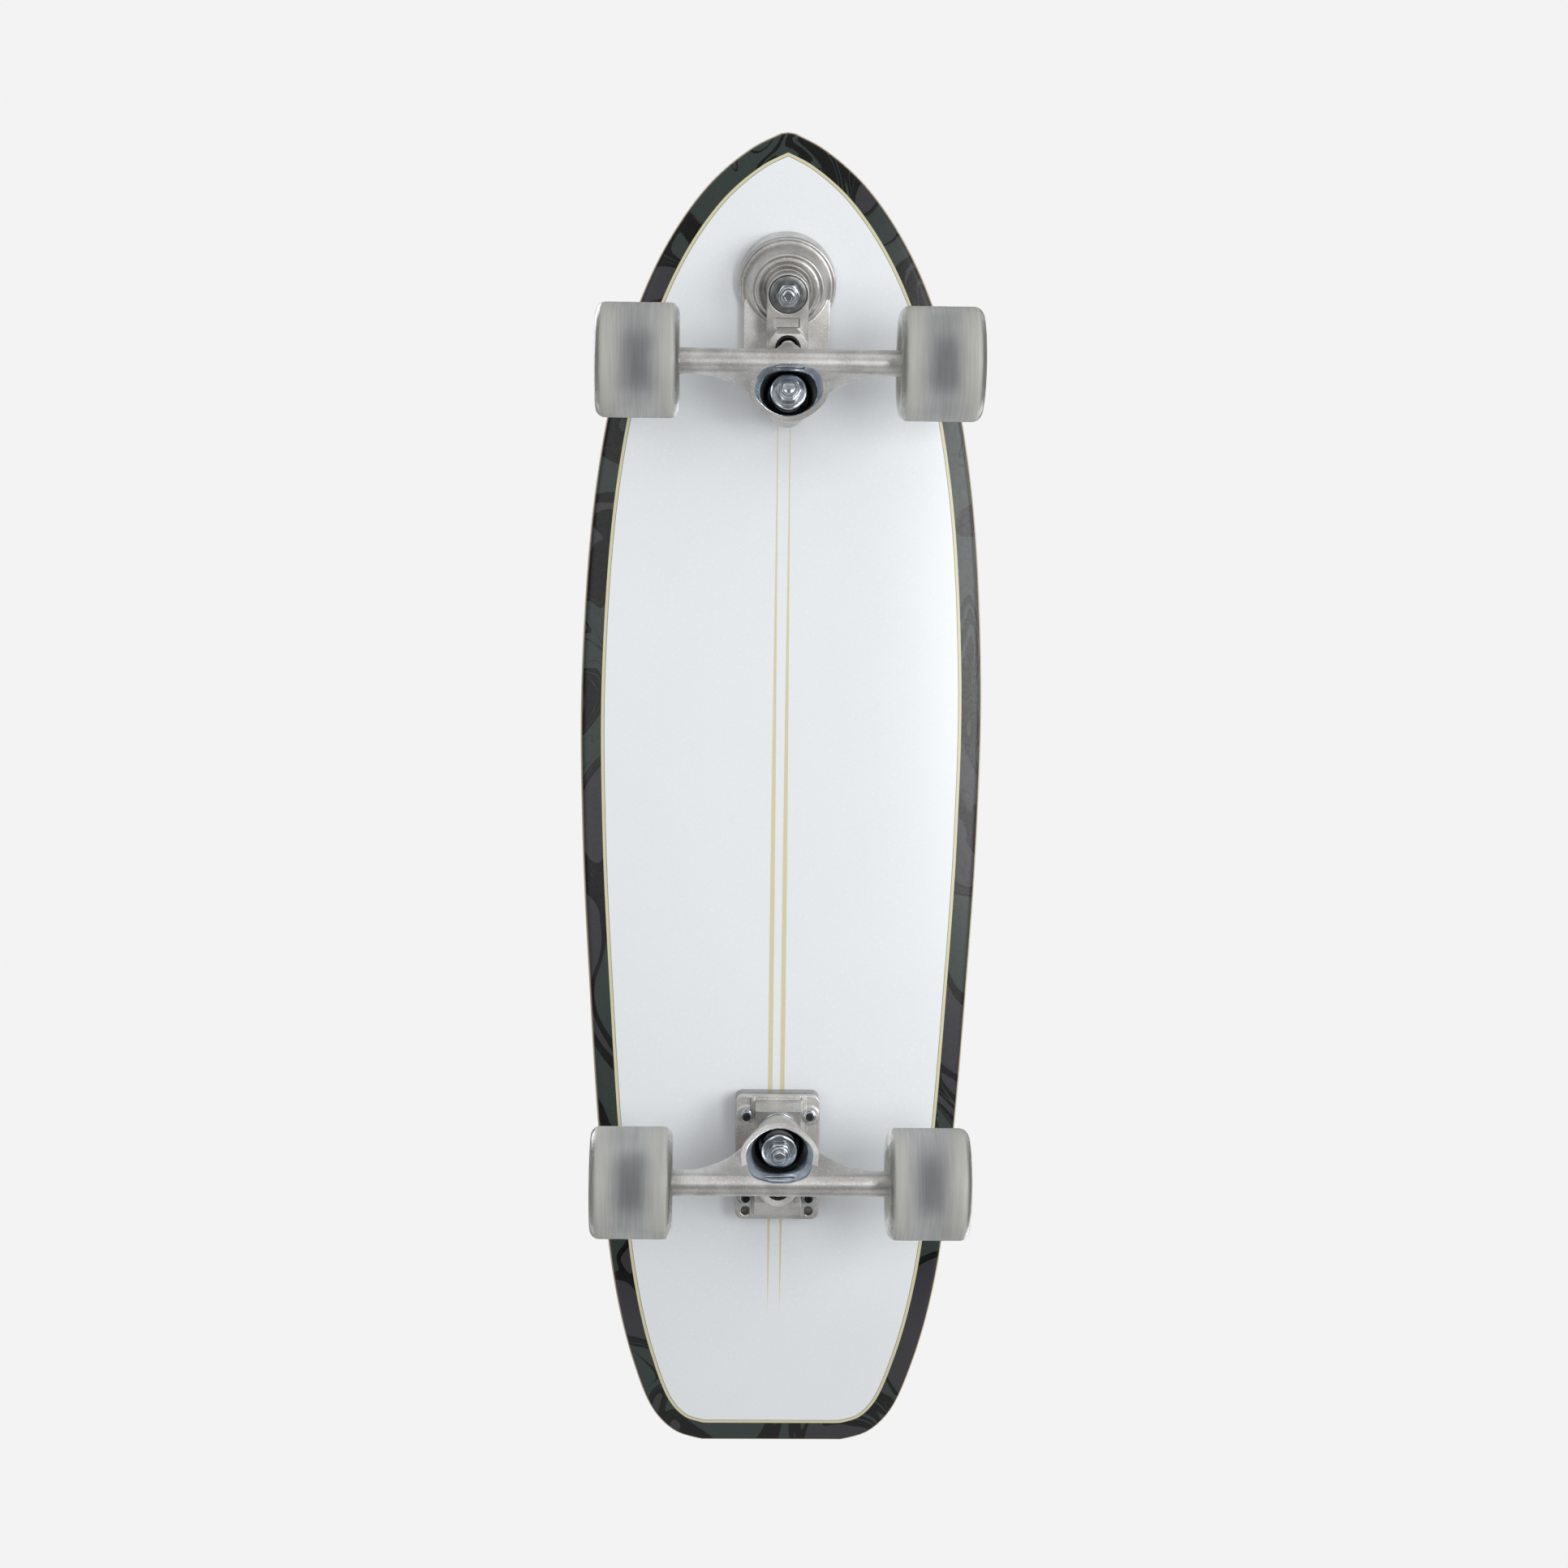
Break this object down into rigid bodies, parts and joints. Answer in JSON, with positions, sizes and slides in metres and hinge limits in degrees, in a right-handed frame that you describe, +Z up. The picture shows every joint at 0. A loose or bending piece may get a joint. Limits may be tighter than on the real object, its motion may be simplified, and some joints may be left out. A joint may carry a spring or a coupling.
{
  "type": "surf skateboard",
  "caption": "Surf-style skateboard: pointed maple deck with a kick tail, a sprung swing-arm truck in front, a plain truck behind and wide urethane wheels.",
  "frame": {"origin": "point on the ground under the middle of the board", "axes": "+Z up, nose towards -Y, tail towards +Y, +X to the rider's left when facing the nose"},
  "size_m": [0.263, 0.874, 0.1676],
  "materials": {
    "maple": "satin lacquer over maple ply, white print below, black stain at the edge of the top",
    "grit": "gritty paper with a sparkle",
    "cast_aluminium": "satin casting",
    "zinc_steel": "bright zinc",
    "black_steel": "black oxide",
    "smoke_urethane": "translucent, satin",
    "clear_urethane": "translucent, satin",
    "core_plastic": "moulded",
    "black_rubber": "matte",
    "spring_steel": "oiled"
  },
  "bodies": {
    "board": {"deck": "maple", "grip_tape": "grit", "bolt_front_nose_left": "black_steel", "bolt_front_nose_right": "black_steel", "bolt_front_tail_left": "black_steel", "bolt_front_tail_right": "black_steel", "bolt_rear_nose_left": "black_steel", "bolt_rear_nose_right": "black_steel", "bolt_rear_tail_left": "black_steel", "bolt_rear_tail_right": "black_steel", "lock_nut_rear_nose_left": "zinc_steel", "lock_nut_rear_nose_right": "zinc_steel", "lock_nut_rear_tail_left": "zinc_steel", "lock_nut_rear_tail_right": "zinc_steel", "front_housing": "cast_aluminium", "front_centring_spring": "spring_steel", "rear_baseplate": "cast_aluminium", "rear_riser_pad": "smoke_urethane", "rear_pivot_cup": "black_rubber", "rear_kingpin": "zinc_steel", "rear_board_side_washer": "zinc_steel", "rear_board_side_bushing": "clear_urethane", "rear_road_side_bushing": "clear_urethane", "rear_road_side_washer": "zinc_steel", "rear_kingpin_nut": "zinc_steel"},
    "front_arm": {"front_swing_arm": "cast_aluminium", "front_pivot_bolt": "zinc_steel", "front_pivot_washer": "zinc_steel", "front_pivot_nut": "zinc_steel", "front_pivot_cup": "black_rubber", "front_kingpin": "zinc_steel", "front_board_side_washer": "zinc_steel", "front_board_side_bushing": "clear_urethane", "front_road_side_bushing": "clear_urethane", "front_road_side_washer": "zinc_steel", "front_kingpin_nut": "zinc_steel"},
    "front_hanger": {"front_hanger": "cast_aluminium", "front_axle": "zinc_steel", "front_left_axle_nut": "zinc_steel", "front_right_axle_nut": "zinc_steel"},
    "front_left_wheel": {"front_left_tyre": "smoke_urethane", "front_left_wheel_core": "core_plastic", "front_left_inner_bearing": "zinc_steel", "front_left_outer_bearing": "zinc_steel"},
    "front_right_wheel": {"front_right_tyre": "smoke_urethane", "front_right_wheel_core": "core_plastic", "front_right_inner_bearing": "zinc_steel", "front_right_outer_bearing": "zinc_steel"},
    "rear_hanger": {"rear_hanger": "cast_aluminium", "rear_axle": "zinc_steel", "rear_left_axle_nut": "zinc_steel", "rear_right_axle_nut": "zinc_steel"},
    "rear_left_wheel": {"rear_left_tyre": "smoke_urethane", "rear_left_wheel_core": "core_plastic", "rear_left_inner_bearing": "zinc_steel", "rear_left_outer_bearing": "zinc_steel"},
    "rear_right_wheel": {"rear_right_tyre": "smoke_urethane", "rear_right_wheel_core": "core_plastic", "rear_right_inner_bearing": "zinc_steel", "rear_right_outer_bearing": "zinc_steel"}
  },
  "joints": [
    {"name": "front_swing", "type": "hinge", "parent": "board", "child": "front_arm", "pos_m": [0, -0.3298, 0.0805], "axis": [0, 0.2924, -0.9563], "range_deg": [-35, 35], "stiffness_Nm_per_rad": 20},
    {"name": "front_steer", "type": "hinge", "parent": "front_arm", "child": "front_hanger", "pos_m": [0, -0.26379, 0.06472], "axis": [0, -0.9265, 0.3762], "range_deg": [-12, 12], "stiffness_Nm_per_rad": 40, "deforming": ["front_board_side_bushing", "front_road_side_bushing"]},
    {"name": "rear_steer", "type": "hinge", "parent": "board", "child": "rear_hanger", "pos_m": [0, 0.21179, 0.06472], "axis": [0, 0.9265, 0.3762], "range_deg": [-12, 12], "stiffness_Nm_per_rad": 40, "deforming": ["rear_board_side_bushing", "rear_road_side_bushing"]},
    {"name": "front_left_wheel_spin", "type": "hinge", "parent": "front_hanger", "child": "front_left_wheel", "pos_m": [0.094, -0.2845, 0.0355], "axis": [1, 0, 0], "continuous": true},
    {"name": "front_right_wheel_spin", "type": "hinge", "parent": "front_hanger", "child": "front_right_wheel", "pos_m": [-0.094, -0.2845, 0.0355], "axis": [1, 0, 0], "continuous": true},
    {"name": "rear_left_wheel_spin", "type": "hinge", "parent": "rear_hanger", "child": "rear_left_wheel", "pos_m": [0.094, 0.2325, 0.0355], "axis": [1, 0, 0], "continuous": true},
    {"name": "rear_right_wheel_spin", "type": "hinge", "parent": "rear_hanger", "child": "rear_right_wheel", "pos_m": [-0.094, 0.2325, 0.0355], "axis": [1, 0, 0], "continuous": true}
  ]
}
